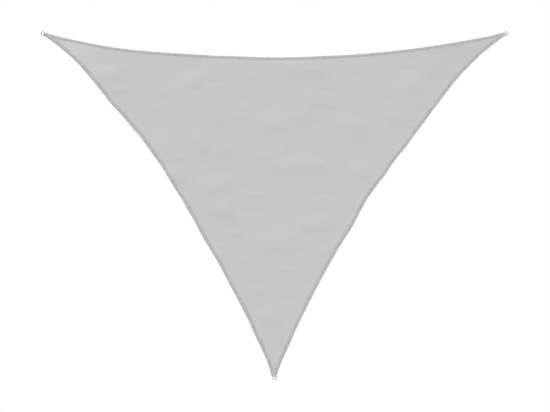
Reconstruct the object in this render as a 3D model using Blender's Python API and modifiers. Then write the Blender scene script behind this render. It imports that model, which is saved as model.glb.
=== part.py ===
# Triangular shade sail, lying face up and spread out: knitted cloth with three hollow edges and a
# turned-over hem, and at each corner a webbing loop that holds a bent wire ring.
# Metres, +Z up, +Y towards the long edge. The origin is on the ground under the middle of the sail.

from collections import namedtuple
from math import acos, asin, ceil, cos, pi, sin, tan

import bmesh
import bpy
from mathutils import Matrix, Vector

# Driving dimensions
TOP_SPAN = 5.00  # ring centre to ring centre along the long edge
SIDE_SPAN = 4.48  # ring centre to ring centre along either side
CLOTH_THICK = 0.0012
HEM_WIDTH = 0.035
HEM_EXTRA = 0.0014  # the turned-over layers, on top of the cloth
GAP = 0.0003  # between pieces that touch

WEBBING_WIDTH = 0.028
WEBBING_THICK = 0.0015
LOOP_REACH = 0.112  # from the ring's centre to the ends of the loop's legs
LEG_DROP_RUN = 0.022  # length over which the upper leg comes down to the cloth

WIRE = 0.006
RING_INSIDE = 0.032  # width inside the ring
RING_END = 0.0155  # middle of the wire where it runs outermost, outwards from the ring's centre
END_RADIUS = 0.008  # of the two bends at that end, to the wire's middle
BAR_OUTWARDS = -0.0135  # middle of the straight bar in the loop, outwards from the ring's centre
BAR_RADIUS = 0.005  # of the two bends at the bar

TIP_BACK = 0.020  # the cloth's corner is trimmed square this far inside the ring's centre
STRAIGHT_RUN = 0.170  # an edge is straight from its corner to here
EDGE_STEP = 0.064
CELL = 0.075  # size of the flat facets between the edges
SHORTEST_EDGE = 0.007
RISE_END, FLAT_FROM = 0.200, 0.450  # the cloth comes down from the loop between these, from a corner
TURN_STEPS, DROP_STEPS = 14, 8  # facets of the webbing round the bar, and down to the cloth
END_STEPS, BAR_STEPS = 6, 4  # facets of each bend of the ring

# Where a ring's centre lies, which way it points, and how wide the cloth is where its corner is trimmed
# and how far aside of the ring that end lies, to the left as seen from the cloth.
Corner = namedtuple("Corner", "centre outwards tip_width tip_aside")
# The curve of each edge: how deep it is hollowed, and how far its deepest point lies towards the start.
Edge = namedtuple("Edge", "start end sag skew waves")
# Where a slack edge wanders: place and half length as fractions of the edge, and metres inwards.
Wave = namedtuple("Wave", "at half depth")
# A soft ridge in the cloth: its middle, its length and width, its turn from +X in degrees, its height.
Fold = namedtuple("Fold", "x y length width turn height")
HEM_SLOT = 1  # which of the cloth's two materials its hem has

half_top = TOP_SPAN / 2
side_angle = acos(half_top / SIDE_SPAN)  # between the long edge and a side
plan_depth = SIDE_SPAN * sin(side_angle)
half_ring = (RING_INSIDE + WIRE) / 2
bend_out, bend_aside = RING_END - END_RADIUS, half_ring - END_RADIUS
bend_top = bend_out * sin(side_angle / 2) + bend_aside * cos(side_angle / 2)
above_corner = bend_top + END_RADIUS + WIRE / 2
below_corner = RING_END + WIRE / 2
top_y = (plan_depth + above_corner + below_corner) / 2 - above_corner

LEFT = Vector((-half_top, top_y))
RIGHT = Vector((half_top, top_y))
BOTTOM = Vector((0, top_y - plan_depth))
CORNERS = {
    "left": Corner(LEFT, pi - side_angle / 2, tip_width=0.042, tip_aside=0.002),
    "right": Corner(RIGHT, side_angle / 2, tip_width=0.040, tip_aside=0.0),
    "bottom": Corner(BOTTOM, -pi / 2, tip_width=0.052, tip_aside=-0.005),
}

LEFT_EDGE = Edge(
    LEFT,
    BOTTOM,
    sag=0.250,
    skew=0.20,
    waves=(
        Wave(0.10, 0.11, 0.0215),
        Wave(0.235, 0.05, -0.009),
        Wave(0.335, 0.032, 0.006),
        Wave(0.383, 0.105, 0.0095),
        Wave(0.427, 0.03, 0.004),
        Wave(0.49, 0.025, -0.0035),
        Wave(0.58, 0.04, 0.0055),
        Wave(0.615, 0.13, -0.018),
        Wave(0.745, 0.075, -0.007),
        Wave(0.845, 0.04, 0.003),
    ),
)
RIGHT_EDGE = Edge(
    RIGHT,
    BOTTOM,
    sag=0.2455,
    skew=0.20,
    waves=(
        Wave(0.07, 0.06, 0.016),
        Wave(0.14, 0.095, 0.0245),
        Wave(0.315, 0.03, 0.003),
        Wave(0.33, 0.13, -0.022),
        Wave(0.37, 0.03, -0.0035),
        Wave(0.42, 0.025, 0.005),
        Wave(0.435, 0.05, -0.013),
        Wave(0.516, 0.035, 0.0065),
        Wave(0.57, 0.025, -0.0035),
        Wave(0.60, 0.055, -0.011),
        Wave(0.80, 0.20, 0.010),
        Wave(0.865, 0.06, 0.004),
        Wave(0.955, 0.05, 0.003),
    ),
)
TOP_EDGE = Edge(
    LEFT,
    RIGHT,
    sag=0.259,
    skew=0.0,
    waves=(
        Wave(0.165, 0.17, 0.018),
        Wave(0.42, 0.06, -0.004),
        Wave(0.615, 0.05, -0.0025),
        Wave(0.90, 0.12, -0.004),
        Wave(0.955, 0.045, -0.003),
    ),
)

FOLDS = (
    # across the cloth
    Fold(-0.94, 1.32, 0.96, 0.28, 21, 0.0075),
    Fold(-0.84, 1.17, 0.66, 0.26, 8, 0.0035),
    Fold(-1.71, 1.42, 0.42, 0.22, 2, 0.004),
    Fold(-0.92, 1.64, 0.46, 0.22, 0, 0.004),
    Fold(0.26, 1.49, 0.90, 0.33, -1, 0.006),
    Fold(0.46, 1.16, 0.62, 0.25, -14, 0.0055),
    Fold(1.44, 1.29, 0.60, 0.30, -4, 0.0065),
    Fold(1.32, 0.94, 0.52, 0.25, -8, 0.0055),
    Fold(0.06, 0.89, 0.76, 0.32, -5, 0.0065),
    Fold(0.82, 0.85, 0.56, 0.28, -12, 0.005),
    Fold(-0.92, 0.66, 1.20, 0.48, -4, 0.005),
    Fold(-0.57, 0.58, 0.66, 0.24, -17, 0.004),
    Fold(0.22, 0.43, 0.86, 0.28, -3, 0.006),
    Fold(-0.65, 0.21, 0.70, 0.30, 4, 0.0055),
    Fold(0.93, 0.36, 0.50, 0.28, -5, 0.005),
    Fold(-0.56, -0.05, 0.52, 0.30, -6, 0.0055),
    Fold(0.45, -0.20, 0.72, 0.24, 3, 0.0045),
    Fold(0.04, -0.39, 0.88, 0.33, -8, 0.0075),
    Fold(-0.37, -0.61, 0.46, 0.34, -15, 0.0055),
    Fold(-0.13, -0.92, 0.34, 0.18, -8, 0.003),
    Fold(-0.05, -1.22, 0.42, 0.27, -8, 0.006),
    # in from the slack places of the edges
    Fold(-1.90, 1.38, 0.44, 0.24, 34, 0.003),
    Fold(-1.10, 0.30, 0.46, 0.36, 33, 0.006),
    Fold(1.96, 1.40, 0.44, 0.24, -34, 0.003),
    Fold(0.86, -0.24, 0.40, 0.20, -32, 0.003),
    Fold(0.42, -0.97, 0.36, 0.18, -28, 0.003),
)


def hump(x):
    """A smooth bump: 1 in the middle, 0 from -1 and 1 outwards."""
    return (1 + cos(pi * x)) / 2 if abs(x) < 1 else 0.0


def smooth_step(x):
    x = min(max(x, 0.0), 1.0)
    return x * x * (3 - 2 * x)


def inset(edge, t):
    """How far the edge lies inside the straight line between its corners, at the fraction t of it."""
    hollow = 4 * edge.sag * t * (1 - t) * (1 + edge.skew * (1 - 2 * t))
    return hollow + sum(wave.depth * hump((t - wave.at) / wave.half) for wave in edge.waves)


def edge_points(edge):
    """Points along the edge from its start to its end, between the two corners and without them."""
    chord = edge.end - edge.start
    inwards = Vector((-chord.y, chord.x)).normalized()
    if inwards.dot(-edge.start) < 0:
        inwards.negate()
    first = STRAIGHT_RUN / chord.length
    steps = ceil((1 - 2 * first) * chord.length / EDGE_STEP)
    points = []
    for i in range(steps + 1):
        t = first + (1 - 2 * first) * i / steps
        points.append(edge.start + chord * t + inwards * inset(edge, t))
    return points


def lift(point):
    """Height of the cloth's underside: it lies flat but for the soft ridges and the rise onto each loop."""
    height = 0.0
    for fold in FOLDS:
        away = point - Vector((fold.x, fold.y))
        turned = Matrix.Rotation(-fold.turn * pi / 180, 2) @ away
        along = hump(2 * turned.x / fold.length)
        height += fold.height * along * hump(2 * turned.y / fold.width)
    for corner in CORNERS.values():
        down = ((point - corner.centre).length - RISE_END) / (FLAT_FROM - RISE_END)
        height += (WEBBING_THICK + GAP) * (1 - smooth_step(down))
    return height


def principled(name, colour, roughness, metallic=0.0):
    material = bpy.data.materials.new(name)
    material.use_nodes = True
    shader = material.node_tree.nodes["Principled BSDF"]
    shader.inputs["Base Color"].default_value = (*colour, 1)
    shader.inputs["Roughness"].default_value = roughness
    shader.inputs["Metallic"].default_value = metallic
    return material


def add_object(name, data, materials, collection, place=Matrix.Identity(4)):
    made = bpy.data.objects.new(name, data)
    made.matrix_world = place
    for material in materials:
        data.materials.append(material)
    collection.objects.link(made)
    return made


def thicken(bm, faces, height):
    """Raises the faces by height, with walls round them, and gives back the raised ones."""
    edges = list(dict.fromkeys(edge for face in faces for edge in face.edges))
    raised = bmesh.ops.extrude_face_region(bm, geom=faces + edges)["geom"]
    verts = [item for item in raised if isinstance(item, bmesh.types.BMVert)]
    bmesh.ops.translate(bm, verts=verts, vec=(0, 0, height))
    return [item for item in raised if isinstance(item, bmesh.types.BMFace)]


def trim_corner(bm, corner):
    """Cuts the corner off square and spreads the cut to its width, because the cloth ends blunt."""
    outwards = Vector((cos(corner.outwards), sin(corner.outwards), 0))
    aside = Vector((-outwards.y, outwards.x, 0)) * corner.tip_aside
    tip = corner.centre.to_3d() - outwards * TIP_BACK
    everything = bm.verts[:] + bm.edges[:] + bm.faces[:]
    cut = bmesh.ops.bisect_plane(
        bm, geom=everything, plane_co=tip, plane_no=outwards, clear_outer=True
    )["geom_cut"]
    for vert in cut:
        if isinstance(vert, bmesh.types.BMVert) and len(vert.link_edges) == 2:
            vert.co = tip + aside + (vert.co - tip).normalized() * corner.tip_width / 2


def cut_facets(bm):
    """Cuts the flat outline into small facets, so that it can follow the folds."""
    for axis, reach in ((0, half_top), (1, plan_depth / 2)):
        normal = Vector((0, 0, 0))
        normal[axis] = 1
        lines = ceil(reach / CELL)
        for i in range(-lines, lines + 1):
            everything = bm.verts[:] + bm.edges[:] + bm.faces[:]
            bmesh.ops.bisect_plane(bm, geom=everything, plane_co=normal * i * CELL, plane_no=normal)
    bmesh.ops.remove_doubles(bm, verts=bm.verts, dist=SHORTEST_EDGE)
    bmesh.ops.triangulate(bm, faces=bm.faces)


def make_cloth(materials, collection):
    """The cloth: outline, hem line and facets in the flat, then folds, thickness and the thicker hem."""
    bm = bmesh.new()
    outline = [LEFT, *edge_points(LEFT_EDGE), BOTTOM]
    outline += [*reversed(edge_points(RIGHT_EDGE)), RIGHT, *reversed(edge_points(TOP_EDGE))]
    whole = bm.faces.new([bm.verts.new((*point, 0)) for point in outline])
    whole.normal_update()
    hem_faces = bmesh.ops.inset_individual(bm, faces=[whole], thickness=HEM_WIDTH)["faces"]
    for face in hem_faces:
        face.material_index = HEM_SLOT
    for corner in CORNERS.values():
        trim_corner(bm, corner)
    cut_facets(bm)
    for vert in bm.verts:
        vert.co.z = lift(vert.co.to_2d())
    top = thicken(bm, bm.faces[:], CLOTH_THICK)
    thicken(bm, [face for face in top if face.material_index == HEM_SLOT], HEM_EXTRA)
    bmesh.ops.recalc_face_normals(bm, faces=bm.faces)
    mesh = bpy.data.meshes.new("sail_cloth")
    bm.to_mesh(mesh)
    bm.free()
    add_object("sail_cloth", mesh, materials, collection)


def loop_profile():
    """The webbing's middle line from the side, as (outwards, up): lower leg, turn, upper leg."""
    turn_radius = WIRE / 2 + GAP + WEBBING_THICK / 2
    bar_height = WEBBING_THICK / 2 + turn_radius
    upper = WEBBING_THICK + 2 * GAP + CLOTH_THICK + HEM_EXTRA + WEBBING_THICK / 2
    points = [(-LOOP_REACH, WEBBING_THICK / 2)]
    for i in range(TURN_STEPS + 1):
        angle = -pi / 2 + pi * i / TURN_STEPS
        points.append((BAR_OUTWARDS + turn_radius * cos(angle), bar_height + turn_radius * sin(angle)))
    top = points[-1][1]
    for i in range(1, DROP_STEPS + 1):
        t = i / DROP_STEPS
        points.append((BAR_OUTWARDS - LEG_DROP_RUN * t, top + (upper - top) * smooth_step(t)))
    points.append((-LOOP_REACH, upper))
    return points


def loop_mesh():
    bm = bmesh.new()
    verts = [bm.verts.new((out, -WEBBING_WIDTH / 2, up)) for out, up in loop_profile()]
    edges = [bm.edges.new(pair) for pair in zip(verts, verts[1:])]
    side = bmesh.ops.extrude_edge_only(bm, edges=edges)["geom"]
    moved = [item for item in side if isinstance(item, bmesh.types.BMVert)]
    bmesh.ops.translate(bm, verts=moved, vec=(0, WEBBING_WIDTH, 0))
    bmesh.ops.recalc_face_normals(bm, faces=bm.faces)
    mesh = bpy.data.meshes.new("corner_loop")
    bm.to_mesh(mesh)
    bm.free()
    return mesh


def wire_bend(reach, radius, steps, side):
    """The middle of the wire as (outwards, sideways), from one side of the ring round to its end or bar."""
    inwards = radius if reach < 0 else -radius
    points = []
    for i in range(steps + 1):
        angle = pi / 2 * i / steps
        points.append((reach + inwards * (1 - sin(angle)), side * (half_ring - radius * (1 - cos(angle)))))
    return points


def ring_route():
    """All four bends in turn: two at the outer end and two at the bar."""
    end_bends = [wire_bend(RING_END, END_RADIUS, END_STEPS, side) for side in (-1, 1)]
    bar_bends = [wire_bend(BAR_OUTWARDS, BAR_RADIUS, BAR_STEPS, side) for side in (1, -1)]
    return end_bends[0] + end_bends[1][::-1] + bar_bends[0] + bar_bends[1][::-1]


def ring_curve(name):
    """The ring lies tipped: its bar is held up in the loop and its outer end rests on the ground."""
    bar_height = WEBBING_THICK + GAP + WIRE / 2
    slope = tan(asin((bar_height - WIRE / 2) / (RING_END - BAR_OUTWARDS)))
    curve = bpy.data.curves.new(name, "CURVE")
    curve.dimensions = "3D"
    curve.bevel_depth = WIRE / 2
    curve.bevel_resolution = 3
    route = ring_route()
    spline = curve.splines.new("POLY")
    spline.points.add(len(route) - 1)
    for point, (out, side) in zip(spline.points, route):
        point.co = (out, side, bar_height - (out - BAR_OUTWARDS) * slope, 1)
    spline.use_cyclic_u = True
    return curve


def main():
    for old in list(bpy.data.objects):
        bpy.data.objects.remove(old)
    collection = bpy.data.collections.new("shade_sail")
    bpy.context.scene.collection.children.link(collection)
    cloth = principled("knitted_cloth", (0.56, 0.56, 0.56), 0.85)
    hem = principled("cloth_turned_double", (0.46, 0.46, 0.46), 0.85)
    webbing = principled("corner_webbing", (0.44, 0.44, 0.44), 0.8)
    steel = principled("ring_steel", (0.50, 0.50, 0.51), 0.3, metallic=1.0)
    make_cloth((cloth, hem), collection)
    for name, corner in CORNERS.items():
        turn = Matrix.Rotation(corner.outwards, 4, "Z")
        place = Matrix.Translation(corner.centre.to_3d()) @ turn
        loop = add_object(f"corner_loop_{name}", loop_mesh(), (webbing,), collection, place)
        strap = loop.modifiers.new("strap", "SOLIDIFY")
        strap.thickness = WEBBING_THICK
        strap.offset = 0
        strap.use_even_offset = True
        add_object(f"ring_{name}", ring_curve(f"ring_{name}"), (steel,), collection, place)


main()
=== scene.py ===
# A triangular shade sail of knitted grey cloth, spread out on a pale floor and seen from straight above.
# All sizes are metres in the CAD model's frame: +X along the long edge, +Y towards it, +Z up.
from math import acos, asin, ceil, cos, floor, pi, radians, sin, tan

import bmesh
import bpy
import numpy as np
from mathutils import Matrix, Vector, noise


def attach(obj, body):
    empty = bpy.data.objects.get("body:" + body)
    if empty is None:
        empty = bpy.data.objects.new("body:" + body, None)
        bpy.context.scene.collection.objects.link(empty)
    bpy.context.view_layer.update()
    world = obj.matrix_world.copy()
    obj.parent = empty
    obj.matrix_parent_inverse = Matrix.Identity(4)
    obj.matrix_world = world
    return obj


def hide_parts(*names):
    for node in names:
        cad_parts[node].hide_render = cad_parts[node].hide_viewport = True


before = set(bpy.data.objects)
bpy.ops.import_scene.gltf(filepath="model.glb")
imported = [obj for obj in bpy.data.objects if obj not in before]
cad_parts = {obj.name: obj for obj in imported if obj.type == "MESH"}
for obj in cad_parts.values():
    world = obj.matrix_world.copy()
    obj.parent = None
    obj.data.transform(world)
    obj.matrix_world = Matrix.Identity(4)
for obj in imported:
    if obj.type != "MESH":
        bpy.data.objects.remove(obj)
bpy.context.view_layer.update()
scene = bpy.context.scene
print("frame loaded:", ", ".join(sorted(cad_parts)))

sail = {
    "topSpan": 5.00,  # ring centre to ring centre along the long edge
    "sideSpan": 4.48,  # and along either side
    "clothThick": 0.0012,
    "hemThick": 0.0014,  # the turned-over layers, on top of the cloth
    "hemDrawn": 0.035,  # the hem's width before each edge gets its own
    "gap": 0.0003,  # between pieces that touch
    "straightRun": 0.170,  # an edge is straight from its corner to here
    "easeRun": 0.070,  # and bends smoothly this far to each side of that place
    "edgeStep": 0.012,  # mesh size along the hems
    "cell": 0.016,  # and between them
    "shortest": 0.004,  # mesh points nearer to each other than this are joined
    "rounding": 0.0001,  # depths that differ by less are the same
    "tipBack": 0.020,  # a corner is trimmed square this far inside its ring's centre
    "tipStep": 0.011,  # and its long hem faces are cut this short
    "tipDone": 0.155,
    "outerRows": 0.006,  # as deep as the blunt corners carry the hem's rows outwards
    "sewnFlat": 0.12,  # from a corner, without folds, where the loop is sewn on
    "sewnFlatOver": 0.16,  # over the next, folds grow
    "riseEnd": 0.200,  # the cloth comes down from its loop between these, from a corner
    "flatFrom": 0.450,
    "risenCalm": 0.6,  # how much lower the folds are on the loop's side of that
    "roundAbove": 0.45,  # the part of the thickness that is rounded off at the outer edge,
    "roundBelow": 0.25,  # on the upper and on the lower face
}
ring = {
    "wire": 0.006,
    "inside": 0.032,
    "end": 0.0155,  # the middle of the wire where it runs outermost, from the ring's centre
    "endRadius": 0.008,
    "bar": -0.0135,  # and where it runs through the loop
    "barRadius": 0.005,
    "bendSteps": 16,
    "wireRound": 6,
    "colour": (0.50, 0.50, 0.51),
    "cloud": ((80.0, 80.0, 80.0), 0.10),  # how often its tone changes along X, Y and Z, and by how much
    "scratchScale": (500.0, 500.0, 2500.0),
    "scratchDepth": 0.0001,
    "roughness": 0.30,
    "roughMore": 0.20,  # on the scratches
}

# Where the corners lie, so that the sail with its rings is centred on the frame's origin
halfTop = sail["topSpan"] / 2
sideAngle = acos(halfTop / sail["sideSpan"])
planDepth = sail["sideSpan"] * sin(sideAngle)
halfRing = (ring["inside"] + ring["wire"]) / 2
belowCorner = ring["end"] + ring["wire"] / 2
bendOut, bendAside = ring["end"] - ring["endRadius"], halfRing - ring["endRadius"]
aboveCorner = (
    bendOut * sin(sideAngle / 2) + bendAside * cos(sideAngle / 2) + ring["endRadius"] + ring["wire"] / 2
)
topY = (planDepth + aboveCorner + belowCorner) / 2 - aboveCorner

# Each corner: its ring's centre, its direction, and how wide the cloth ends there and how far aside.
# flatCloth adds how its mesh rows taper towards it, and where its trimmed rim lies.
corners = {
    "left": {"at": Vector((-halfTop, topY)), "points": pi - sideAngle / 2, "tip": 0.042, "aside": 0.002},
    "right": {"at": Vector((halfTop, topY)), "points": sideAngle / 2, "tip": 0.040, "aside": 0.0},
    "bottom": {"at": Vector((0, topY - planDepth)), "points": -pi / 2, "tip": 0.052, "aside": -0.005},
}
# Each edge: how deep it is hollowed, how far its deepest point lies towards the start, the hem's width and
# tone, and where it wanders as (place, half length, inwards): fractions of the edge, then metres.
edges = {
    "left": {
        "from": "left", "to": "bottom", "sag": 0.250, "skew": 0.20, "hem": 0.038, "tone": 1.0,
        "waves": [(0.10, 0.11, 0.0215), (0.235, 0.05, -0.009), (0.335, 0.032, 0.006),
                  (0.383, 0.105, 0.0095), (0.427, 0.03, 0.004), (0.49, 0.025, -0.0035),
                  (0.58, 0.04, 0.0055), (0.615, 0.13, -0.018), (0.745, 0.075, -0.007),
                  (0.845, 0.04, 0.003)],
    },
    "right": {
        "from": "right", "to": "bottom", "sag": 0.2455, "skew": 0.20, "hem": 0.035, "tone": 1.0,
        "waves": [(0.07, 0.06, 0.016), (0.14, 0.095, 0.0245), (0.315, 0.03, 0.003), (0.33, 0.13, -0.022),
                  (0.37, 0.03, -0.0035), (0.42, 0.025, 0.005), (0.435, 0.05, -0.013),
                  (0.516, 0.035, 0.0065), (0.57, 0.025, -0.0035), (0.60, 0.055, -0.011),
                  (0.80, 0.20, 0.010), (0.865, 0.06, 0.004), (0.955, 0.05, 0.003)],
    },
    "top": {
        "from": "left", "to": "right", "sag": 0.259, "skew": 0.0, "hem": 0.027, "tone": 1.04,
        "waves": [(0.165, 0.17, 0.018), (0.42, 0.06, -0.004), (0.615, 0.05, -0.0025),
                  (0.90, 0.12, -0.004), (0.955, 0.045, -0.003)],
    },
}


def hump(x):  # 1 in the middle, 0 from -1 and 1 outwards
    return np.where(np.abs(x) < 1, (1 + np.cos(pi * np.clip(x, -1, 1))) / 2, 0.0)


def smoothStep(x):  # 0 up to 0, 1 from 1 onwards
    x = np.clip(x, 0.0, 1.0)
    return x * x * (3 - 2 * x)


def wander(x, y, shift=0.0):  # smooth noise from -1 to 1, features about 1 apart
    return np.array([noise.noise(Vector((a, b, shift))) for a, b in zip(x, y)])


def chordOf(edge):  # the straight line between an edge's corners, and the way in from it
    start, end = corners[edge["from"]]["at"], corners[edge["to"]]["at"]
    chord = end - start
    inwards = Vector((-chord.y, chord.x)).normalized()
    if inwards.dot(-start) < 0:
        inwards.negate()
    return start, chord, inwards


def curveInset(edge, t):  # the hollow with its waves, at a fraction t of the edge
    inset = 4 * edge["sag"] * t * (1 - t) * (1 + edge["skew"] * (1 - 2 * t))
    for at, half, depth in edge["waves"]:
        inset = inset + depth * hump((t - at) / half)
    return inset


def edgeInset(edge, t):  # inwards from the chord, with both ends straight
    first = sail["straightRun"] / chordOf(edge)[1].length
    nearStart = curveInset(edge, first) * t / first
    nearEnd = curveInset(edge, 1 - first) * (1 - t) / first
    return np.where(t < first, nearStart, np.where(t > 1 - first, nearEnd, curveInset(edge, t)))


def edgeSlope(edge, t, long, small=0.001):
    return (edgeInset(edge, t + small) - edgeInset(edge, t - small)) / (2 * small * long)


def edgePlace(edge, along, inwards=0.0):  # x and y at metres along the chord and in from the edge
    start, chord, across = chordOf(edge)
    long = chord.length
    t = along / long
    slope = edgeSlope(edge, t, long)
    turn = np.sqrt(1 + slope ** 2)
    forward = along - inwards * slope / turn
    out = edgeInset(edge, t) + inwards / turn
    ahead = chord / long
    return start.x + ahead.x * forward + across.x * out, start.y + ahead.y * forward + across.y * out


def fromEdge(edge, x, y):  # metres along the chord, metres in from the edge, and the way in
    start, chord, across = chordOf(edge)
    long = chord.length
    ahead = chord / long
    along = (x - start.x) * ahead.x + (y - start.y) * ahead.y
    slope = edgeSlope(edge, along / long, long)
    turn = np.sqrt(1 + slope ** 2)
    inwards = ((x - start.x) * across.x + (y - start.y) * across.y - edgeInset(edge, along / long)) / turn
    wayX = (across.x - slope * ahead.x) / turn
    wayY = (across.y - slope * ahead.y) / turn
    return along, inwards, wayX, wayY


def nearestEdge(x, y):  # what fromEdge says for all edges, which one is nearest, and how far along it
    measures = [fromEdge(edge, x, y) for edge in edges.values()]
    which = np.argmin([inwards for _, inwards, _, _ in measures], axis=0)
    along = np.choose(which, [measure[0] for measure in measures])
    return measures, which, along


def fromCorners(x, y):  # metres to the nearest ring's centre
    return np.min([np.hypot(x - c["at"].x, y - c["at"].y) for c in corners.values()], axis=0)


# Soft ridges: middle x and y, length, width, turn from +X in degrees, height
folds = [
    (-0.94, 1.32, 0.96, 0.28, 21, 0.0064), (-0.84, 1.17, 0.66, 0.26, 8, 0.0035),
    (-1.71, 1.42, 0.42, 0.22, 2, 0.004), (-0.92, 1.64, 0.46, 0.22, 0, 0.004),
    (0.26, 1.49, 0.90, 0.33, -1, 0.006), (0.46, 1.16, 0.62, 0.25, -14, 0.0055),
    (1.44, 1.29, 0.60, 0.30, -4, 0.0065), (1.32, 0.94, 0.52, 0.25, -8, 0.0055),
    (0.06, 0.89, 0.76, 0.32, -5, 0.0065), (0.82, 0.85, 0.56, 0.28, -12, 0.005),
    (-0.92, 0.66, 1.20, 0.48, -4, 0.005), (-0.57, 0.58, 0.66, 0.24, -17, 0.004),
    (0.22, 0.43, 0.86, 0.28, -3, 0.006), (-0.65, 0.21, 0.70, 0.30, 4, 0.0055),
    (0.93, 0.36, 0.50, 0.28, -5, 0.005), (-0.56, -0.05, 0.52, 0.30, -6, 0.0055),
    (0.45, -0.20, 0.72, 0.24, 3, 0.0045), (0.04, -0.39, 0.88, 0.33, -8, 0.0075),
    (-0.37, -0.61, 0.46, 0.34, -15, 0.0055), (-0.13, -0.92, 0.34, 0.18, -8, 0.003),
    (-0.05, -1.22, 0.42, 0.27, -8, 0.006),
    # at and in from the slack places of the edges
    (-1.90, 1.38, 0.44, 0.24, 34, 0.003), (-1.10, 0.30, 0.46, 0.36, 33, 0.006),
    (1.96, 1.40, 0.44, 0.24, -34, 0.003), (0.86, -0.24, 0.40, 0.20, -32, 0.003),
    (0.42, -0.97, 0.36, 0.18, -28, 0.003),
]
# Narrow creases on top of those, in the same columns
creases = [
    (-1.69, 1.245, 0.34, 0.13, 0, 0.0030), (-0.64, 1.275, 0.34, 0.15, 0, 0.0032),
    (-1.30, 1.05, 0.50, 0.10, -6, 0.0016), (-0.36, 1.22, 0.50, 0.10, -3, 0.0018),
    (0.42, 1.46, 0.26, 0.12, -4, 0.0030), (0.80, 1.36, 0.50, 0.10, -8, 0.0016),
    (1.46, 1.40, 0.40, 0.12, -10, 0.0024), (0.51, 0.835, 0.24, 0.13, 0, 0.0030),
    (1.50, 0.98, 0.36, 0.10, -14, 0.0016), (-0.44, 0.96, 0.60, 0.09, -6, 0.0014),
    (-1.02, 0.52, 0.26, 0.12, 0, 0.0030), (0.98, 0.66, 0.44, 0.09, -8, 0.0014),
    (0.46, 0.46, 0.26, 0.13, 0, 0.0026), (-0.20, 0.12, 0.50, 0.09, -5, 0.0016),
    (0.52, 0.06, 0.50, 0.09, 4, 0.0014), (-0.42, -0.30, 0.30, 0.12, -4, 0.0028),
    (0.55, -0.49, 0.28, 0.14, 10, 0.0028), (0.18, -0.70, 0.40, 0.10, -12, 0.0018),
    (0.13, -1.085, 0.22, 0.14, -18, 0.0030), (-0.13, -1.44, 0.16, 0.12, -10, 0.0024),
    # drawn in towards the rings
    (-2.18, 1.72, 0.42, 0.040, -22, 0.0014), (-2.12, 1.66, 0.36, 0.030, -34, 0.0012),
    (2.16, 1.71, 0.40, 0.038, 24, 0.0014), (2.10, 1.66, 0.36, 0.030, 35, 0.0011),
    (-0.03, -1.50, 0.40, 0.040, 96, 0.0013), (0.05, -1.46, 0.34, 0.032, 80, 0.0010),
]
creaseBend = 0.03  # how far a crease's ends lie aside of its middle, as a part of its length
# Painted light and shade: where the cloth's colour is made a little lighter or darker in place of how
# light falls on its slack, in the same columns but for the last: parts of 1
paintedShadingSpots = [
    (-2.16, 1.65, 1.10, 0.70, -30, 0.055), (1.98, 1.64, 1.00, 0.60, 24, -0.028),
    (-1.38, 0.87, 0.55, 0.40, 0, 0.015), (-1.02, 0.26, 0.50, 0.35, 0, -0.020),
    (0.35, 1.41, 0.80, 0.20, 0, -0.020), (-0.56, -0.08, 0.50, 0.40, 0, -0.012),
    (-0.93, 1.57, 0.50, 0.12, 0, -0.015),
]
ripples = {"long": 0.23, "short": 0.165, "height": 0.0046, "broadSize": 0.44, "broadHeight": 0.0048}


def ridges(rows, x, y, bend=0.0):  # the height that rows of folds add up to
    height = np.zeros(len(x))
    for middleX, middleY, length, width, turn, high in rows:
        c, s = cos(radians(turn)), sin(radians(turn))
        along = (x - middleX) * c + (y - middleY) * s
        across = (y - middleY) * c - (x - middleX) * s
        across = across + bend * length * (2 * along / length) ** 2
        height += high * hump(2 * along / length) * hump(2 * across / width)
    return height


def underside(x, y):  # the height of the cloth's lower face
    height = ridges(folds, x, y) + ridges(creases, x, y, creaseBend)
    fine = wander(x / ripples["long"], y / ripples["short"], shift=7.3)
    fine = fine + 0.5 * wander(x / ripples["long"] * 2.1, y / ripples["short"] * 1.9, shift=1.9)
    height += ripples["height"] * np.clip(0.5 + 0.5 * fine, 0, 1)
    broad = wander(x / ripples["broadSize"], y / ripples["broadSize"] * 1.6, shift=4.4)
    height += ripples["broadHeight"] * np.clip(0.5 + 0.5 * broad, 0, 1)
    away = fromCorners(x, y)
    fall = 1 - smoothStep((away - sail["riseEnd"]) / (sail["flatFrom"] - sail["riseEnd"]))
    calm = smoothStep((away - sail["sewnFlat"]) / sail["sewnFlatOver"])
    onLoop = (webbing["thick"] + sail["gap"]) * fall
    return height * calm * (1 - sail["risenCalm"] * fall) + onLoop


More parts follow.
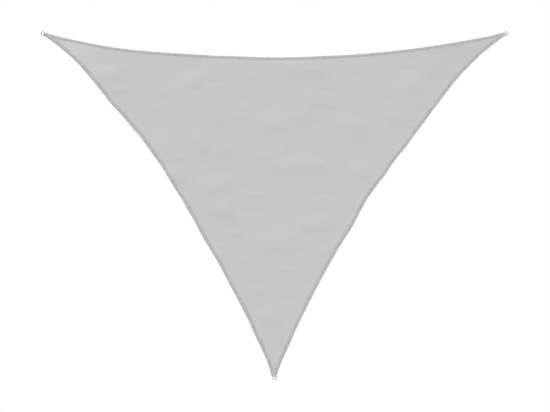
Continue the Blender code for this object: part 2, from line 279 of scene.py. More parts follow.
hem = {
    # widths of the mesh rows, from the outer edge inwards: the fold, a stitch row, the middle,
    # the other stitch row, the turned edge and the cloth beside it
    "rows": [0.0009, 0.0025, 0.0016, 0.0016, 0.0054, 0.0070, 0.0060, 0.0034, 0.0016, 0.0016,
             0.0022, 0.0008, 0.0004],
    "besideRows": [0.0004, 0.0040],
    "turnedRound": 0.0012,  # over which the turned edge rounds down to the cloth
    "stitchRows": (0.0050, 0.0300),  # outer and inner, in the drawn hem's width
    "grooveHalf": 0.0018,  # a stitch row lies in a groove
    "grooveDepth": 0.0005,
    "grooveOver": 0.04,  # from where puckers begin, the outer groove deepens over this
    "easeBeyond": 0.030,  # the hem's own width also moves the cloth this far beyond it
    "feltTo": 0.070,  # and nothing further in than this from the edge
    "scallop": 0.010,
    "scallopReach": 0.024,  # how far each side of the turned edge its wavering is felt
    "scallopRun": 0.055,
    "calmTo": 0.09,  # from a corner, where the turned edge begins to waver, over the next
    "calmOver": 0.12,
    "pucker": 0.0016,
    "puckerRun": 0.052,
    "puckerSlant": 0.030,  # how far a pucker runs along the hem on its way across
    "puckerDrift": 4.4,  # how unevenly they follow each other, and over what length that changes
    "driftRun": 0.16,
    "strengthRun": 0.11,  # the length over which their strength changes
    "puckerBelow": 0.25,  # how much of them shows on the lower face
    "puckerFree": 0.16,  # from a corner, where puckers begin
    "puckerOver": 0.12,  # and over the next they grow
    "paintedCreaseShade": 0.10,  # painted light and shade: how much lighter a pucker's top is painted than the dip beside it
    "creaseMiddle": 0.3,
}


def hemShift(edge, index, along, inwards):  # how far a point in or beside the hem moves inwards
    grown = edge["hem"] - sail["hemDrawn"]
    inside = inwards / sail["hemDrawn"] * grown
    beyond = grown * (1 - smoothStep((inwards - sail["hemDrawn"]) / hem["easeBeyond"]))
    move = np.where(inwards < sail["hemDrawn"], inside, beyond)
    wave = wander(along / hem["scallopRun"], along * 0, shift=3.7 * index + 0.5)
    move = move + hem["scallop"] * wave * hump((inwards - sail["hemDrawn"]) / hem["scallopReach"])
    fromEnd = np.minimum(along, chordOf(edge)[1].length - along)
    return move * smoothStep((fromEnd - hem["calmTo"]) / hem["calmOver"])


def puckers(index, along, inwards):  # slanting waves between the stitch rows, as in any sewn hem
    across = np.clip(inwards / sail["hemDrawn"], 0, 1)
    drift = hem["puckerDrift"] * wander(along / hem["driftRun"], along * 0, shift=11.3 + index)
    strength = 0.55 + 0.45 * wander(along / hem["strengthRun"], along * 0, shift=5.1 * index + 20)
    turned = 2 * pi * (along + across * hem["puckerSlant"]) / hem["puckerRun"]
    wave = 0.5 + 0.5 * np.sin(turned + drift)
    return hem["pucker"] * wave * strength * np.sin(pi * across) ** 0.7


def puckerStart(x, y):  # 0 near the corners, 1 where puckers have their full height
    return smoothStep((fromCorners(x, y) - hem["puckerFree"]) / hem["puckerOver"])


def outerGroove(x, y):  # the outer stitch row's groove: deep along the edges, none at the blunt corners
    return hem["grooveDepth"] * smoothStep((fromCorners(x, y) - hem["puckerFree"]) / hem["grooveOver"])


def stackedHem(depth, outerDeep):  # the turned layers' height on the cloth, by the depth in as drawn
    full, turnedRound = sail["hemDrawn"], hem["turnedRound"]
    over = np.clip((depth - full + turnedRound) / turnedRound, 0, 1)
    edgeRound = np.sqrt(np.clip(1 - over ** 2, 0, 1))
    outer, inner = (hump((depth - row) / hem["grooveHalf"]) for row in hem["stitchRows"])
    grooves = outerDeep * outer + hem["grooveDepth"] * inner
    return (sail["hemThick"] - grooves) * np.where(depth < full, edgeRound, 0.0)


def edgePoints(edge):
    long = chordOf(edge)[1].length
    first = sail["straightRun"]
    steps = ceil((long - 2 * first) / sail["edgeStep"])
    x, y = edgePlace(edge, np.linspace(first, long - first, steps + 1))
    return list(zip(x, y))


def cutStrips(bm, faces, axis, first, last):  # at every whole cell between the two, the middle one first
    if first > last:
        return
    middle = (first + last) // 2
    normal = Vector((0, 0, 0))
    normal[axis] = 1
    parts = {part for face in faces for part in (*face.edges, *face.verts)}
    place = middle * sail["cell"]
    cut = bmesh.ops.bisect_plane(bm, geom=[*faces, *parts], plane_co=normal * place, plane_no=normal)
    made = [part for part in cut["geom"] if isinstance(part, bmesh.types.BMFace)]
    below = [face for face in made if face.calc_center_median()[axis] < place]
    above = [face for face in made if face.calc_center_median()[axis] >= place]
    cutStrips(bm, below, axis, first, middle - 1)
    cutStrips(bm, above, axis, middle + 1, last)


def shapeTip(bm, corner):  # trims a corner square, then cuts its long hem faces into short ones
    outwards = Vector((cos(corner["points"]), sin(corner["points"]), 0))
    tip = corner["at"].to_3d() - outwards * sail["tipBack"]
    everything = bm.verts[:] + bm.edges[:] + bm.faces[:]
    trimmed = bmesh.ops.bisect_plane(
        bm, geom=everything, plane_co=tip, plane_no=outwards, clear_outer=True
    )["geom_cut"]
    rim = [part for part in trimmed if isinstance(part, bmesh.types.BMVert)]
    widest = max((vert.co - tip).length for vert in rim)
    aside = Vector((-outwards.y, outwards.x, 0)) * corner["aside"]
    for vert in rim:
        vert.co = tip + aside + (vert.co - tip) * corner["tip"] / 2 / widest
    corner["rim"] = [vert.co.to_2d() - corner["at"] for vert in rim]
    back = sail["tipBack"] + sail["tipStep"]
    while back < sail["tipDone"]:
        everything = bm.verts[:] + bm.edges[:] + bm.faces[:]
        place = corner["at"].to_3d() - outwards * back
        bmesh.ops.bisect_plane(bm, geom=everything, plane_co=place, plane_no=outwards)
        back += sail["tipStep"]


def flatCloth():  # the cut cloth in the flat, as one open sheet with its hem rows
    bm = bmesh.new()
    depthLayer = bm.verts.layers.float.new("hemDepth")
    rowLayer = bm.faces.layers.int.new("hemRow")
    outline = [corners["left"]["at"], *edgePoints(edges["left"]), corners["bottom"]["at"]]
    outline += [*reversed(edgePoints(edges["right"])), corners["right"]["at"]]
    outline += [*reversed(edgePoints(edges["top"]))]
    inner = bm.faces.new([bm.verts.new((x, y, 0)) for x, y in outline])
    inner.normal_update()
    depth = 0.0
    for number, width in enumerate(hem["rows"] + hem["besideRows"], start=1):
        rim = bmesh.ops.inset_individual(bm, faces=[inner], thickness=width)["faces"]
        depth += width
        for face in rim:
            face[rowLayer] = number
            face.material_index = 1 if number <= len(hem["rows"]) else 0
        for vert in inner.verts:
            vert[depthLayer] = depth
    for corner in corners.values():
        nearest = min(inner.verts, key=lambda vert: (vert.co.to_2d() - corner["at"]).length)
        corner["taper"] = (nearest.co.to_2d() - corner["at"]) / depth
    for corner in corners.values():
        shapeTip(bm, corner)
    for axis, low, high in ((0, -halfTop, halfTop), (1, topY - planDepth, topY)):
        inside = [face for face in bm.faces if face[rowLayer] == 0]
        cutStrips(bm, inside, axis, ceil(low / sail["cell"]), floor(high / sail["cell"]))
    inside = [vert for vert in bm.verts if vert[depthLayer] > depth - sail["rounding"]]
    bmesh.ops.remove_doubles(bm, verts=inside, dist=sail["shortest"])
    bmesh.ops.triangulate(bm, faces=[face for face in bm.faces if len(face.verts) > 4])
    return bm


def tipSpread(edge, run):  # how far outwards the blunt corners carry the outline, and the bend beside them
    _, chord, inwards = chordOf(edge)
    long = chord.length
    first, ease, small = sail["straightRun"], sail["easeRun"], 0.01
    spread, bend = np.zeros(len(run)), np.zeros(len(run))
    for end, ahead, fromEnd in (("from", chord / long, run), ("to", -chord / long, long - run)):
        rim = min(corners[edge[end]]["rim"], key=lambda point: point.dot(inwards))
        joint, beyond = [
            float(edgeInset(edge, there / long if end == "from" else 1 - there / long))
            for there in (first, first + small)
        ]
        slope = (joint - rim.dot(inwards)) / (first - rim.dot(ahead))
        spread += (slope - joint / first) * np.clip(first - fromEnd, 0, first)
        kink = slope - (beyond - joint) / small
        bend += kink * ease / 4 * np.clip(1 - np.abs(fromEnd - first) / ease, 0, 1) ** 2
    return spread, bend


def rowPlace(edge, along, depth):  # a drawn row's place: level with the edge, and tapering to both corners
    chord = chordOf(edge)[1]
    long, first = chord.length, sail["straightRun"]
    x, y = edgePlace(edge, along, depth)
    for end, ahead, fromEnd in (("from", chord / long, along), ("to", -chord / long, long - along)):
        corner = corners[edge[end]]
        meet = corner["at"] + corner["taper"] * depth
        levelX, levelY = edgePlace(edge, np.array([first if end == "from" else long - first]), depth)
        level = Vector((levelX[0], levelY[0]))
        meetRun, levelRun = [(point - corner["at"]).dot(ahead) for point in (meet, level)]
        part = (fromEnd - meetRun) / (levelRun - meetRun)
        x = np.where(fromEnd < levelRun, meet.x + (level.x - meet.x) * part, x)
        y = np.where(fromEnd < levelRun, meet.y + (level.y - meet.y) * part, y)
    return x, y


def twoSidedCloth():  # the flat cloth's mesh, closed, with an upper face above its lower one
    bm = flatCloth()
    topLayer = bm.verts.layers.float.new("upperFace")
    raised = bmesh.ops.extrude_face_region(bm, geom=bm.faces[:] + bm.edges[:])["geom"]
    for part in raised:
        if isinstance(part, bmesh.types.BMVert):
            part[topLayer] = 1.0
            part.co.z = sail["clothThick"]
    bmesh.ops.recalc_face_normals(bm, faces=bm.faces)
    mesh = bpy.data.meshes.new("sail_sheet")
    bm.to_mesh(mesh)
    bm.free()
    return mesh


def readLayer(mesh, name):
    values = np.zeros(len(mesh.vertices))
    mesh.attributes[name].data.foreach_get("value", values)
    return values


def shiftedRows(x, y, depth, measures, which):  # each hem's own width and wavering, and the corners' bends
    newX, newY, rimDepth = x.copy(), y.copy(), depth.copy()
    further = np.clip(depth / sail["outerRows"], 0, 1)
    for index, (edge, measure) in enumerate(zip(edges.values(), measures)):
        run, inwards, wayX, wayY = measure
        near = inwards < hem["feltTo"]
        move = np.zeros(len(x))
        move[near] = hemShift(edge, index, run[near], inwards[near])
        spread, bend = tipSpread(edge, run)
        move -= np.where(which == index, bend * (1 - further), 0.0)
        rimDepth += np.where(which == index, (spread + bend) * further, 0.0)
        newX += move * wayX
        newY += move * wayY
    return newX, newY, rimDepth


def makeCloth():
    mesh = twoSidedCloth()
    count = len(mesh.vertices)
    place = np.zeros(count * 3)
    mesh.vertices.foreach_get("co", place)
    place = place.reshape(-1, 3)
    depth, upper = readLayer(mesh, "hemDepth"), readLayer(mesh, "upperFace")
    x, y = place[:, 0].copy(), place[:, 1].copy()
    measures, which, along = nearestEdge(x, y)
    place[:, 0], place[:, 1], rimDepth = shiftedRows(x, y, depth, measures, which)
    inHem = depth < sail["hemDrawn"] + sail["rounding"]
    grown = puckerStart(x, y)
    rise = np.zeros(count)
    for index in range(len(edges)):
        here = inHem & (which == index)
        rise[here] = puckers(index, along[here], depth[here]) * grown[here]
    outerRound = 1 - smoothStep(depth / hem["rows"][0])
    thick = sail["clothThick"] + stackedHem(depth, outerGroove(x, y)) * inHem
    above = thick + rise - sail["roundAbove"] * thick * outerRound
    below = hem["puckerBelow"] * rise + sail["roundBelow"] * thick * outerRound
    place[:, 2] = underside(place[:, 0], place[:, 1]) + np.where(upper > 0.5, above, below)
    mesh.vertices.foreach_set("co", place.ravel())
    mesh.attributes.remove(mesh.attributes["upperFace"])
    tones = np.array([edge["tone"] for edge in edges.values()])
    # painted shade in the puckers' dips and painted light on their tops, added to each hem's own tone
    creaseShadePainted = hem["paintedCreaseShade"] * (rise / hem["pucker"] - hem["creaseMiddle"]) * inHem
    layers = {
        "alongEdge": along,
        "rimDepth": rimDepth,  # from the outline, where hemDepth is as drawn
        "hemToneAndCreaseShade": tones[which] + creaseShadePainted,
        # painted light and shade in the cloth's colour
        "paintedShading": 1 + ridges(paintedShadingSpots, x, y),
    }
    for name, values in layers.items():
        layer = mesh.attributes.new(name, "FLOAT", "POINT")
        layer.data.foreach_set("value", values)
    mesh.shade_smooth()
    mesh.update()
    piece = bpy.data.objects.new("sail_sheet", mesh)
    scene.collection.objects.link(piece)
    return piece


thread = {
    "thick": 0.0010,
    "pitch": 0.0060,
    "long": 0.0050,
    "strapPitch": 0.0040,
    "strapLong": 0.0034,
    "rise": 0.0002,  # how far a stitch's middle line stands above the groove
    "rowStart": (0.034, 0.078),  # from a corner, where the outer and the inner hem row begin
    "colour": (0.38, 0.38, 0.385),
    "tone": ((6.0, 6.0, 6.0), 0.08),  # how often it changes along X, Y and Z, and by how much
    "ply": ((900.0, 900.0, 900.0), 0.20),
}


def threadBetween(bm, start, end):  # one stitch, dipping into the cloth at both ends
    turn = (end - start).to_track_quat("X", "Z").to_matrix().to_4x4()
    half = Matrix.Diagonal(((end - start).length / 2, thread["thick"] / 2, thread["thick"] / 2, 1))
    place = Matrix.Translation((start + end) / 2) @ turn @ half
    bmesh.ops.create_icosphere(bm, subdivisions=1, radius=1, matrix=place)


def meshObject(name, bm):
    mesh = bpy.data.meshes.new(name)
    bm.to_mesh(mesh)
    bm.free()
    mesh.shade_smooth()
    piece = bpy.data.objects.new(name, mesh)
    scene.collection.objects.link(piece)
    return piece


def onStitchRow(index, edge, row, where):  # points on the finished hem, at metres along its edge
    depth = hem["stitchRows"][row]
    if row == 0:
        flatX, flatY = edgePlace(edge, where, depth - sum(tipSpread(edge, where)))
        groove = outerGroove(flatX, flatY)
    else:
        flatX, flatY = rowPlace(edge, where, depth)
        groove = hem["grooveDepth"]
    run, inwards, wayX, wayY = fromEdge(edge, flatX, flatY)
    move = hemShift(edge, index, run, inwards)
    x, y = flatX + move * wayX, flatY + move * wayY
    z = underside(x, y) + sail["clothThick"] + sail["hemThick"] - groove
    z = z + puckers(index, run, np.full(len(run), depth)) * puckerStart(flatX, flatY) + thread["rise"]
    return [Vector(point) for point in zip(x, y, z)]


def makeHemStitches():
    made = []
    for index, (name, edge) in enumerate(edges.items()):
        long = chordOf(edge)[1].length
        for row, rowName in enumerate(("outer", "inner")):
            begin = thread["rowStart"][row]
            along = np.arange(begin, long - begin, thread["pitch"])
            starts = onStitchRow(index, edge, row, along)
            ends = onStitchRow(index, edge, row, along + thread["long"])
            bm = bmesh.new()
            for start, end in zip(starts, ends):
                threadBetween(bm, start, end)
            made.append(meshObject(f"hem_stitches_{name}_{rowName}", bm))
    return made


webbing = {
    "width": 0.028,
    "thick": 0.0015,
    "reach": 0.112,  # from the ring's centre to the ends of both legs
    "dropRun": 0.022,  # over which the upper leg comes down to the cloth
    "turnSteps": 20,
    "dropSteps": 10,
    "legSteps": 12,
    "across": 12,
    "edgeRound": 0.0005,
    "cordPitch": 0.0018,  # the weave's cords lie side by side, its rows one after another
    "rowPitch": 0.0014,
    "weaveDepth": 0.0003,
    "weaveBump": 0.6,
    "ribShare": 0.35,  # of the cords against the weave's checks
    "ribShade": 0.07,
    "colour": (0.462, 0.462, 0.464),
    "worn": ((60.0, 60.0, 60.0), 0.12),  # how often its tone changes along X, Y and Z, and by how much
}


def cornerPlace(corner):
    return Matrix.Translation(corner["at"].to_3d()) @ Matrix.Rotation(corner["points"], 4, "Z")


def strapProfile():  # the webbing's middle line from the side, outwards and up, and its highest face
    reach, thick, bar = webbing["reach"], webbing["thick"], ring["bar"]
    turnRadius = ring["wire"] / 2 + sail["gap"] + thick / 2
    barHeight = thick / 2 + turnRadius
    upper = 1.5 * thick + 2 * sail["gap"] + sail["clothThick"] + sail["hemThick"]
    points = []
    for i in range(webbing["legSteps"]):
        points.append((-reach + (reach + bar) * i / webbing["legSteps"], thick / 2))
    for i in range(webbing["turnSteps"] + 1):
        angle = -pi / 2 + pi * i / webbing["turnSteps"]
        points.append((bar + turnRadius * cos(angle), barHeight + turnRadius * sin(angle)))
    top = points[-1][1]
    for i in range(1, webbing["dropSteps"] + 1):
        t = i / webbing["dropSteps"]
        points.append((bar - webbing["dropRun"] * t, top + (upper - top) * float(smoothStep(t))))
    legStart = bar - webbing["dropRun"]
    for i in range(1, webbing["legSteps"] + 1):
        points.append((legStart - (reach + legStart) * i / webbing["legSteps"], upper))
    return points, upper + thick / 2


def makeStrap(name, corner):
    profile, _ = strapProfile()
    lengths = [0.0]
    for (a, b), (c, d) in zip(profile, profile[1:]):
        lengths.append(lengths[-1] + ((c - a) ** 2 + (d - b) ** 2) ** 0.5)
    bm = bmesh.new()
    runLayer = bm.verts.layers.float.new("run")
    sideLayer = bm.verts.layers.float.new("side")
    verts = []
    for (out, up), run in zip(profile, lengths):
        vert = bm.verts.new((out, -webbing["width"] / 2, up))
        vert[runLayer] = run
        verts.append(vert)
    line = [bm.edges.new(pair) for pair in zip(verts, verts[1:])]
    step = webbing["width"] / webbing["across"]
    for number in range(1, webbing["across"] + 1):
        made = bmesh.ops.extrude_edge_only(bm, edges=line)["geom"]
        moved = [part for part in made if isinstance(part, bmesh.types.BMVert)]
        bmesh.ops.translate(bm, verts=moved, vec=(0, step, 0))
        for vert in moved:
            vert[sideLayer] = number * step
        line = [part for part in made if isinstance(part, bmesh.types.BMEdge)
                and all(vert in moved for vert in part.verts)]
    bmesh.ops.recalc_face_normals(bm, faces=bm.faces)
    uvLayer = bm.loops.layers.uv.new("weave")
    for face in bm.faces:
        for loop in face.loops:
            loop[uvLayer].uv = (loop.vert[runLayer], loop.vert[sideLayer])
    bmesh.ops.transform(bm, matrix=cornerPlace(corner), verts=bm.verts)
    piece = meshObject(f"corner_strap_{name}", bm)
    solid = piece.modifiers.new("thickness", "SOLIDIFY")
    solid.thickness = webbing["thick"]
    solid.offset = 0
    solid.use_even_offset = True
    rounded = piece.modifiers.new("rounded sides", "BEVEL")
    rounded.width = webbing["edgeRound"]
    rounded.segments = 2
    rounded.limit_method = "ANGLE"
    rounded.angle_limit = radians(50)
    return piece


boxStitch = {"outer": -0.044, "inner": -0.106, "half": 0.0105, "sunk": 0.0001}


def makeStrapStitches(name, corner):  # a sewn box with a cross in it, through the loop's upper leg
    height = strapProfile()[1] - boxStitch["sunk"]
    near, far, half = boxStitch["outer"], boxStitch["inner"], boxStitch["half"]
    lines = [((near, -half), (near, half)), ((near, half), (far, half)), ((far, half), (far, -half)),
             ((far, -half), (near, -half)), ((near, -half), (far, half)), ((near, half), (far, -half))]
    bm = bmesh.new()
    for start, end in lines:
        start, end = Vector((*start, height)), Vector((*end, height))
        count = round((end - start).length / thread["strapPitch"])
        ahead = (end - start) / count
        halfStitch = ahead.normalized() * thread["strapLong"] / 2
        for i in range(count):
            middle = start + ahead * (i + 0.5)
            threadBetween(bm, middle - halfStitch, middle + halfStitch)
    bmesh.ops.transform(bm, matrix=cornerPlace(corner), verts=bm.verts)
    return meshObject(f"strap_stitches_{name}", bm)


def wireBend(reach, radius, side):  # from one side of the ring round to its end or its bar
    inwards = radius if reach < 0 else -radius
    points = []
    for i in range(ring["bendSteps"] + 1):
        angle = pi / 2 * i / ring["bendSteps"]
        points.append((reach + inwards * (1 - sin(angle)), side * (halfRing - radius * (1 - cos(angle)))))
    return points


def ringRoute():  # the middle of the wire, outwards and sideways: two bends at the end, two at the bar
    endBends = [wireBend(ring["end"], ring["endRadius"], side) for side in (-1, 1)]
    barBends = [wireBend(ring["bar"], ring["barRadius"], side) for side in (1, -1)]
    return endBends[0] + endBends[1][::-1] + barBends[0] + barBends[1][::-1]


def makeRing(name, corner):  # tipped, with its bar in the loop and its outer side on the ground
    barHeight = webbing["thick"] + sail["gap"] + ring["wire"] / 2
    slope = tan(asin((barHeight - ring["wire"] / 2) / (ring["end"] - ring["bar"])))
    curve = bpy.data.curves.new("ringWire", "CURVE")
    curve.dimensions = "3D"
    curve.bevel_depth = ring["wire"] / 2
    curve.bevel_resolution = ring["wireRound"]
    route = ringRoute()
    spline = curve.splines.new("POLY")
    spline.points.add(len(route) - 1)
    for point, (out, side) in zip(spline.points, route):
        point.co = (out, side, barHeight - (out - ring["bar"]) * slope, 1)
    spline.use_cyclic_u = True
    drawn = bpy.data.objects.new("ringWire", curve)
    scene.collection.objects.link(drawn)
    mesh = bpy.data.meshes.new_from_object(drawn.evaluated_get(bpy.context.evaluated_depsgraph_get()))
    bpy.data.objects.remove(drawn)
    mesh.name = f"corner_ring_{name}"
    mesh.transform(cornerPlace(corner))
    mesh.shade_smooth()
    piece = bpy.data.objects.new(f"corner_ring_{name}", mesh)
    scene.collection.objects.link(piece)
    return piece


def newMaterial(name):
    material = bpy.data.materials.new(name)
    material.use_nodes = True
    tree = material.node_tree
    shader = tree.nodes["Principled BSDF"]
    return material, tree, shader


def addNode(tree, kind, **settings):
    node = tree.nodes.new(kind)
    for key, value in settings.items():
        setattr(node, key, value)
    return node


def objectPlace(tree):
    return addNode(tree, "ShaderNodeTexCoord").outputs["Object"]


def pointLayer(tree, name):
    return addNode(tree, "ShaderNodeAttribute", attribute_name=name).outputs["Fac"]


def maths(tree, operation, first, second=None, third=None):
    node = addNode(tree, "ShaderNodeMath", operation=operation)
    for socket, value in zip(node.inputs, (first, second, third)):
        if value is None:
            continue
        if isinstance(value, (int, float)):
            socket.default_value = value
        else:
            tree.links.new(value, socket)
    return node.outputs[0]


def cloudiness(tree, place, scale, detail=3.0):  # soft noise about 0, stretched by scale
    mapping = addNode(tree, "ShaderNodeMapping")
    mapping.inputs["Scale"].default_value = scale
    tree.links.new(place, mapping.inputs["Vector"])
    clouds = addNode(tree, "ShaderNodeTexNoise")
    clouds.inputs["Scale"].default_value = 1.0
    clouds.inputs["Detail"].default_value = detail
    clouds.inputs["Roughness"].default_value = 0.55
    tree.links.new(mapping.outputs["Vector"], clouds.inputs["Vector"])
    return maths(tree, "SUBTRACT", clouds.outputs["Fac"], 0.5)


def clouded(tree, place, change, factor, detail=3.0):  # a factor with soft noise added to it
    scale, strength = change
    return maths(tree, "MULTIPLY_ADD", cloudiness(tree, place, scale, detail), strength, factor)


def shaded(tree, shader, colour, factor):  # the base colour, times a factor near 1
    mix = addNode(tree, "ShaderNodeVectorMath", operation="SCALE")
    mix.inputs[0].default_value = colour
    tree.links.new(factor, mix.inputs["Scale"])
    tree.links.new(mix.outputs["Vector"], shader.inputs["Base Color"])


def raisedBy(tree, shader, height, strength, distance):  # a bump on the shader's normal
    bump = addNode(tree, "ShaderNodeBump")
    bump.inputs["Strength"].default_value = strength
    bump.inputs["Distance"].default_value = distance
    tree.links.new(height, bump.inputs["Height"])
    tree.links.new(bump.outputs["Normal"], shader.inputs["Normal"])


knit = {
    "colour": (0.532, 0.532, 0.533),
    "hemColour": (0.448, 0.448, 0.449),
    "chainPitch": 0.0038,  # the sewn chains, side by side along X
    "chainShare": 0.55,  # of the knit's height
    "tapePitch": 0.0026,  # the flat tapes laid across them, one above another along Y
    "tapeShare": 0.45,
    "tapeSway": 0.9,  # how far a tape waves from chain to chain, in radians of its pitch
    "depth": 0.0005,
    "bump": 0.5,
    "middle": 0.45,  # the height that keeps the colour as it is
    "contrast": 0.10,
    # how often they change along X and Y, and by how much
    "streaks": ((4.5, 17.0, 1.0), 0.050),
    "patches": ((1.3, 2.4, 1.0), 0.040),
    "grain": ((60.0, 160.0, 1.0), 0.030),
}


def knitHeight(tree, place):  # 0 in the holes, 1 on the chains
    split = addNode(tree, "ShaderNodeSeparateXYZ")
    tree.links.new(place, split.inputs[0])
    x, y = split.outputs["X"], split.outputs["Y"]
    chain = maths(tree, "COSINE", maths(tree, "MULTIPLY", x, 2 * pi / knit["chainPitch"]))
    chain = maths(tree, "POWER", maths(tree, "MULTIPLY_ADD", chain, 0.5, 0.5), 2.0)
    sway = maths(tree, "SINE", maths(tree, "MULTIPLY", x, pi / knit["chainPitch"]))
    tapeTurn = maths(tree, "MULTIPLY", y, 2 * pi / knit["tapePitch"])
    tapeTurn = maths(tree, "MULTIPLY_ADD", sway, knit["tapeSway"], tapeTurn)
    tape = maths(tree, "MULTIPLY_ADD", maths(tree, "COSINE", tapeTurn), 0.5, 0.5)
    return maths(tree, "MULTIPLY_ADD", chain, knit["chainShare"],
                 maths(tree, "MULTIPLY", tape, knit["tapeShare"]))


def knitContrast(tree, height, factor):  # holes a little darker, chains a little lighter
    off = maths(tree, "SUBTRACT", height, knit["middle"])
    return maths(tree, "MULTIPLY_ADD", off, knit["contrast"], factor)


def mattCloth(shader):
    shader.inputs["Specular IOR Level"].default_value = 0.25
    shader.inputs["Sheen Weight"].default_value = 0.05


def clothMaterial():
    material, tree, shader = newMaterial("knitted cloth")
    place = objectPlace(tree)
    height = knitHeight(tree, place)
    # painted light and shade, from the mesh's layer
    factor = pointLayer(tree, "paintedShading")
    for kind, detail in (("streaks", 3.0), ("patches", 2.0), ("grain", 2.0)):
        factor = clouded(tree, place, knit[kind], factor, detail)
    shaded(tree, shader, knit["colour"], knitContrast(tree, height, factor))
    tree.links.new(maths(tree, "MULTIPLY_ADD", height, -0.08, 0.80), shader.inputs["Roughness"])
    mattCloth(shader)
    raisedBy(tree, shader, height, knit["bump"], knit["depth"])
    return material


hemLook = {
    # how often they change along and across the hem, and how much lighter or darker they make it: painted
    # shade and light of its gathers and small folds
    "gatherShading": ((24.0, 42.0, 1.0), 0.68),
    "smallFoldsAndShade": ((55.0, 20.0, 1.0), 0.18),
    "foldBump": 1.6,  # against the knit's own
    "knitBump": 0.6,
    "dentShadowHalf": 0.0022,  # half the width of the painted shadow along a stitch row's groove, a dark line
    "paintedDentShadow": 0.12,
}


def hemMaterial():
    material, tree, shader = newMaterial("turned hem")
    height = knitHeight(tree, objectPlace(tree))
    depth = pointLayer(tree, "hemDepth")
    onHem = addNode(tree, "ShaderNodeCombineXYZ")
    tree.links.new(pointLayer(tree, "alongEdge"), onHem.inputs["X"])
    tree.links.new(depth, onHem.inputs["Y"])
    # painted shade and light of the gathers, over the hem's own tone and its painted crease shade
    factor = clouded(tree, onHem.outputs[0], hemLook["gatherShading"], pointLayer(tree, "hemToneAndCreaseShade"))
    foldScale, foldShade = hemLook["smallFoldsAndShade"]
    smallFoldsAndShade = cloudiness(tree, onHem.outputs[0], foldScale, detail=2.0)
    # the small folds' relief is also painted into the colour: painted shade in their dips, painted light
    # on their tops
    factor = maths(tree, "MULTIPLY_ADD", smallFoldsAndShade, foldShade, factor)
    factor = knitContrast(tree, height, factor)
    # a painted shadow along each stitch row's groove
    for row, measured in zip(hem["stitchRows"], (pointLayer(tree, "rimDepth"), depth)):
        away = maths(tree, "ABSOLUTE", maths(tree, "SUBTRACT", measured, row))
        away = maths(tree, "MINIMUM", maths(tree, "DIVIDE", away, hemLook["dentShadowHalf"]), 1.0)
        dentShadowMask = maths(tree, "SUBTRACT", 1.0, away)
        factor = maths(tree, "MULTIPLY_ADD", dentShadowMask, -hemLook["paintedDentShadow"], factor)
    shaded(tree, shader, knit["hemColour"], factor)
    shader.inputs["Roughness"].default_value = 0.78
    mattCloth(shader)
    knitBump = maths(tree, "MULTIPLY", height, hemLook["knitBump"])
    hemBump = maths(tree, "MULTIPLY_ADD", smallFoldsAndShade, hemLook["foldBump"], knitBump)
    raisedBy(tree, shader, hemBump, knit["bump"], knit["depth"])
    return material


def webbingMaterial():
    material, tree, shader = newMaterial("corner webbing")
    split = addNode(tree, "ShaderNodeSeparateXYZ")
    tree.links.new(addNode(tree, "ShaderNodeUVMap", uv_map="weave").outputs["UV"], split.inputs[0])
    cord = maths(tree, "MULTIPLY", split.outputs["Y"], 2 * pi / webbing["cordPitch"])
    rows = maths(tree, "MULTIPLY", split.outputs["X"], 2 * pi / webbing["rowPitch"])
    weave = maths(tree, "MULTIPLY", maths(tree, "SINE", cord), maths(tree, "SINE", rows))
    rib = maths(tree, "MULTIPLY_ADD", maths(tree, "COSINE", cord), webbing["ribShare"], weave)
    factor = maths(tree, "MULTIPLY_ADD", rib, webbing["ribShade"], 1.0)
    factor = clouded(tree, objectPlace(tree), webbing["worn"], factor)
    shaded(tree, shader, webbing["colour"], factor)
    shader.inputs["Roughness"].default_value = 0.7
    shader.inputs["Sheen Weight"].default_value = 0.06
    raisedBy(tree, shader, rib, webbing["weaveBump"], webbing["weaveDepth"])
    return material


def threadMaterial():
    material, tree, shader = newMaterial("sewing thread")
    place = objectPlace(tree)
    factor = clouded(tree, place, thread["tone"], 1.0, detail=2.0)
    factor = clouded(tree, place, thread["ply"], factor, detail=1.0)
    shaded(tree, shader, thread["colour"], factor)
    shader.inputs["Roughness"].default_value = 0.55
    return material


def steelMaterial():
    material, tree, shader = newMaterial("brushed stainless wire")
    place = objectPlace(tree)
    shaded(tree, shader, ring["colour"], clouded(tree, place, ring["cloud"], 1.0, detail=2.0))
    shader.inputs["Metallic"].default_value = 1.0
    scratches = cloudiness(tree, place, ring["scratchScale"])
    rough = maths(tree, "MULTIPLY_ADD", scratches, ring["roughMore"], ring["roughness"])
    tree.links.new(rough, shader.inputs["Roughness"])
    raisedBy(tree, shader, scratches, 0.15, ring["scratchDepth"])
    return material


def dress(piece, slotName, *materials):
    for material in materials:
        piece.data.materials.append(material)
    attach(piece, "root")


sheet = makeCloth()
dress(sheet, "sail_cloth", clothMaterial(), hemMaterial())
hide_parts("sail_cloth")
print("cloth:", len(sheet.data.vertices), "points,", len(sheet.data.polygons), "faces")

threads = threadMaterial()
hemStitches = makeHemStitches()
for stitches in hemStitches:
    dress(stitches, "sail_cloth", threads)
print("hem stitches:", sum(len(stitches.data.polygons) for stitches in hemStitches), "faces")

webbingLook, steelLook = webbingMaterial(), steelMaterial()
fittings = []
for name, corner in corners.items():
    strap = makeStrap(name, corner)
    dress(strap, "corner_webbing", webbingLook)
    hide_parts(f"corner_loop_{name}")
    sewn = makeStrapStitches(name, corner)
    dress(sewn, "corner_webbing", threads)
    wire = makeRing(name, corner)
    dress(wire, "ring_steel", steelLook)
    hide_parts(f"ring_{name}")
    fittings += [strap, sewn, wire]
print("corners:", len(fittings), "pieces")

studio = {
    "floorSize": 160.0,
    "floorDrop": 0.0005,
    "floorShade": 0.35,
    "floorGlow": 0.63,  # like a lit table, so that its white hardly takes shade
    "skyLow": 0.89,  # brighter near the horizon than overhead
    "skyHigh": 0.485,
    "fadeFrom": 0.20,  # as parts of the way up
    "fadeTo": 0.45,
    "sunStrength": 2.75,
    "sunSoftness": 12.0,  # degrees
    "sunTowards": (0.42, -0.66, -0.62),
}


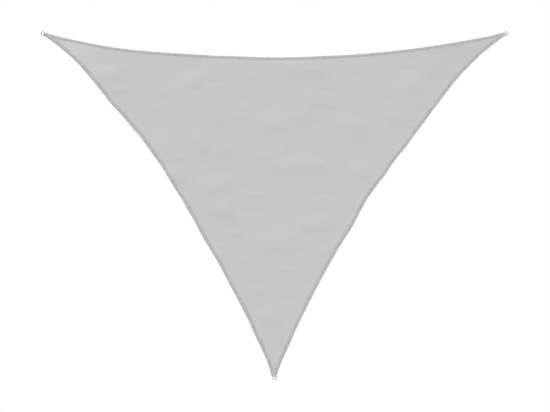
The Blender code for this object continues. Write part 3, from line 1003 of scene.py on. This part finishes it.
def makeFloor():
    bm = bmesh.new()
    bmesh.ops.create_grid(bm, x_segments=1, y_segments=1, size=studio["floorSize"] / 2)
    bmesh.ops.translate(bm, verts=bm.verts, vec=(0, 0, -studio["floorDrop"]))
    ground = meshObject("floor", bm)
    material, _, shader = newMaterial("pale floor")
    shade = studio["floorShade"]
    shader.inputs["Base Color"].default_value = (shade, shade, shade, 1)
    shader.inputs["Roughness"].default_value = 1.0
    shader.inputs["Specular IOR Level"].default_value = 0.0
    shader.inputs["Emission Color"].default_value = (1, 1, 1, 1)
    shader.inputs["Emission Strength"].default_value = studio["floorGlow"]
    ground.data.materials.append(material)


def makeSky():
    world = bpy.data.worlds.new("studio")
    world.use_nodes = True
    scene.world = world
    tree = world.node_tree
    background = tree.nodes["Background"]
    background.inputs["Color"].default_value = (1, 1, 1, 1)
    split = addNode(tree, "ShaderNodeSeparateXYZ")
    tree.links.new(addNode(tree, "ShaderNodeTexCoord").outputs["Generated"], split.inputs[0])
    fade = addNode(tree, "ShaderNodeMapRange")
    fade.inputs["From Min"].default_value = studio["fadeFrom"]
    fade.inputs["From Max"].default_value = studio["fadeTo"]
    fade.inputs["To Min"].default_value = studio["skyLow"]
    fade.inputs["To Max"].default_value = studio["skyHigh"]
    tree.links.new(split.outputs["Z"], fade.inputs["Value"])
    tree.links.new(fade.outputs["Result"], background.inputs["Strength"])


def makeSoftLight():
    light = bpy.data.lights.new("softKey", "SUN")
    light.energy = studio["sunStrength"]
    light.angle = radians(studio["sunSoftness"])
    lamp = bpy.data.objects.new("softKey", light)
    lamp.rotation_euler = Vector(studio["sunTowards"]).to_track_quat("-Z", "Y").to_euler()
    scene.collection.objects.link(lamp)


view = {"focal": 85.0, "sensor": 36.0, "across": 5.9356, "centre": (0.0056, -0.0077), "clothHeight": 0.003}


def makeCamera():  # straight above, with the picture this wide at the cloth's height
    data = bpy.data.cameras.new("overhead")
    data.lens = view["focal"]
    data.sensor_width = view["sensor"]
    data.clip_end = 300
    camera = bpy.data.objects.new("overhead", data)
    distance = view["across"] * view["focal"] / view["sensor"]
    camera.location = (*view["centre"], distance + view["clothHeight"])
    scene.collection.objects.link(camera)
    scene.camera = camera


makeFloor()
makeSky()
makeSoftLight()
makeCamera()
scene.view_settings.view_transform = "Standard"
scene.view_settings.look = "None"
print("studio and camera set")
